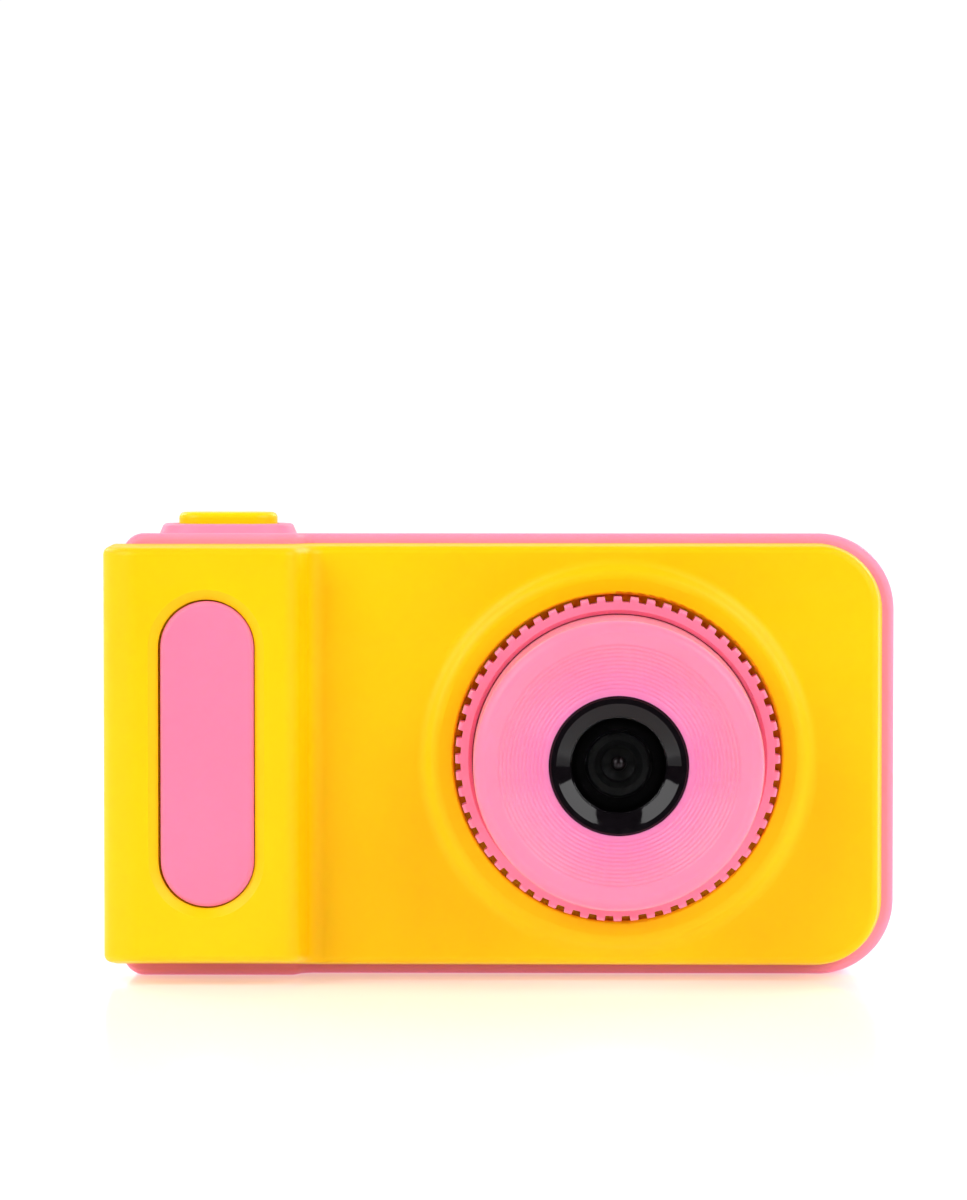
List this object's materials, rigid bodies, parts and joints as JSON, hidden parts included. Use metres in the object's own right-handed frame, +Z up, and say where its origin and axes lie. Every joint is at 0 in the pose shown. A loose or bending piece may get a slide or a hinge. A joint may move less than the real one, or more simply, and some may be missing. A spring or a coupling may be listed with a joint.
{
  "type": "toy digital camera",
  "caption": "Compact two-shell toy digital camera with a bulged grip, a protruding lens in a knurled turning ring, a top shutter key and a rear screen with round keys.",
  "frame": {"origin": "middle of the footprint, on the surface it stands on", "axes": "+X towards the lens side (right, seen from the front), -Y the way the lens looks, +Z up"},
  "size_m": [0.082, 0.038, 0.0483],
  "materials": {
    "yellow_shell": "satin moulded",
    "pink_shell": "satin moulded",
    "pink_inlay": "satin moulded",
    "pink_ring": "satin moulded",
    "pink_barrel": "satin moulded, fine turned rings",
    "yellow_keys": "satin moulded",
    "black_bezel": "gloss",
    "clear_window": "polished",
    "coated_glass": "coated",
    "black_lens_cell": "matt",
    "black_plastic": "matt",
    "sensor_package": "matt",
    "circuit_board": "solder mask",
    "flex_film": "film",
    "chip_packages": "moulded",
    "screen_glass": "gloss",
    "foam_gasket": "closed cell",
    "display_glass": "gloss",
    "battery_foil": "foil",
    "wire_insulation": "smooth",
    "speaker_can": "moulded",
    "steel_cans": "plated",
    "light_pipe": "frosted",
    "switch_bodies": "moulded",
    "switch_plungers": "moulded",
    "screw_steel": "zinc plated"
  },
  "bodies": {
    "camera_body": {"barrel_retainer": "black_plastic", "battery": "battery_foil", "battery_leads": "wire_insulation", "board_chips": "chip_packages", "board_screws": "screw_steel", "camera_lens": "black_lens_cell", "card_socket": "steel_cans", "case_screws": "screw_steel", "display_frame": "black_plastic", "display_panel": "display_glass", "front_shell": "yellow_shell", "grip_inlay": "pink_inlay", "image_sensor": "sensor_package", "lens_barrel": "pink_barrel", "lens_bezel": "black_bezel", "lens_element": "coated_glass", "lens_holder": "black_lens_cell", "lens_window": "clear_window", "main_board": "circuit_board", "microphone": "steel_cans", "rear_shell": "pink_shell", "rear_switches": "switch_bodies", "retainer_screws": "screw_steel", "screen_gasket": "foam_gasket", "screen_window": "screen_glass", "sensor_board": "circuit_board", "sensor_flex": "flex_film", "sensor_screws": "screw_steel", "shutter_bezel": "pink_shell", "shutter_board": "circuit_board", "shutter_screws": "screw_steel", "shutter_switch": "switch_bodies", "speaker": "speaker_can", "speaker_pad": "foam_gasket", "status_light": "light_pipe", "usb_socket": "steel_cans"},
    "focus_ring": {"lens_ring": "pink_ring"},
    "shutter_key": {"shutter_button": "yellow_keys", "shutter_plunger": "switch_plungers"},
    "up_key": {"up_button": "yellow_keys", "up_plunger": "switch_plungers"},
    "ok_key": {"ok_button": "yellow_keys", "ok_plunger": "switch_plungers"},
    "down_key": {"down_button": "yellow_keys", "down_plunger": "switch_plungers"},
    "menu_key": {"menu_button": "yellow_keys", "menu_plunger": "switch_plungers"},
    "power_key": {"power_button": "yellow_keys", "power_plunger": "switch_plungers"}
  },
  "joints": [
    {"name": "focus_ring_turn", "type": "hinge", "parent": "camera_body", "child": "focus_ring", "pos_m": [0.012, -0.0065, 0.0233], "axis": [0, 1, 0], "continuous": true},
    {"name": "shutter_press", "type": "slide", "parent": "camera_body", "child": "shutter_key", "axis": [0, 0, -1], "range_m": [0, 0.0008], "stiffness_N_per_m": 500, "springref_m": -0.0006},
    {"name": "up_press", "type": "slide", "parent": "camera_body", "child": "up_key", "axis": [0, -1, 0], "range_m": [0, 0.0006], "stiffness_N_per_m": 500, "springref_m": -0.0006},
    {"name": "ok_press", "type": "slide", "parent": "camera_body", "child": "ok_key", "axis": [0, -1, 0], "range_m": [0, 0.0006], "stiffness_N_per_m": 500, "springref_m": -0.0006},
    {"name": "down_press", "type": "slide", "parent": "camera_body", "child": "down_key", "axis": [0, -1, 0], "range_m": [0, 0.0006], "stiffness_N_per_m": 500, "springref_m": -0.0006},
    {"name": "menu_press", "type": "slide", "parent": "camera_body", "child": "menu_key", "axis": [0, -1, 0], "range_m": [0, 0.0006], "stiffness_N_per_m": 500, "springref_m": -0.0006},
    {"name": "power_press", "type": "slide", "parent": "camera_body", "child": "power_key", "axis": [0, -1, 0], "range_m": [0, 0.0006], "stiffness_N_per_m": 500, "springref_m": -0.0006}
  ]
}
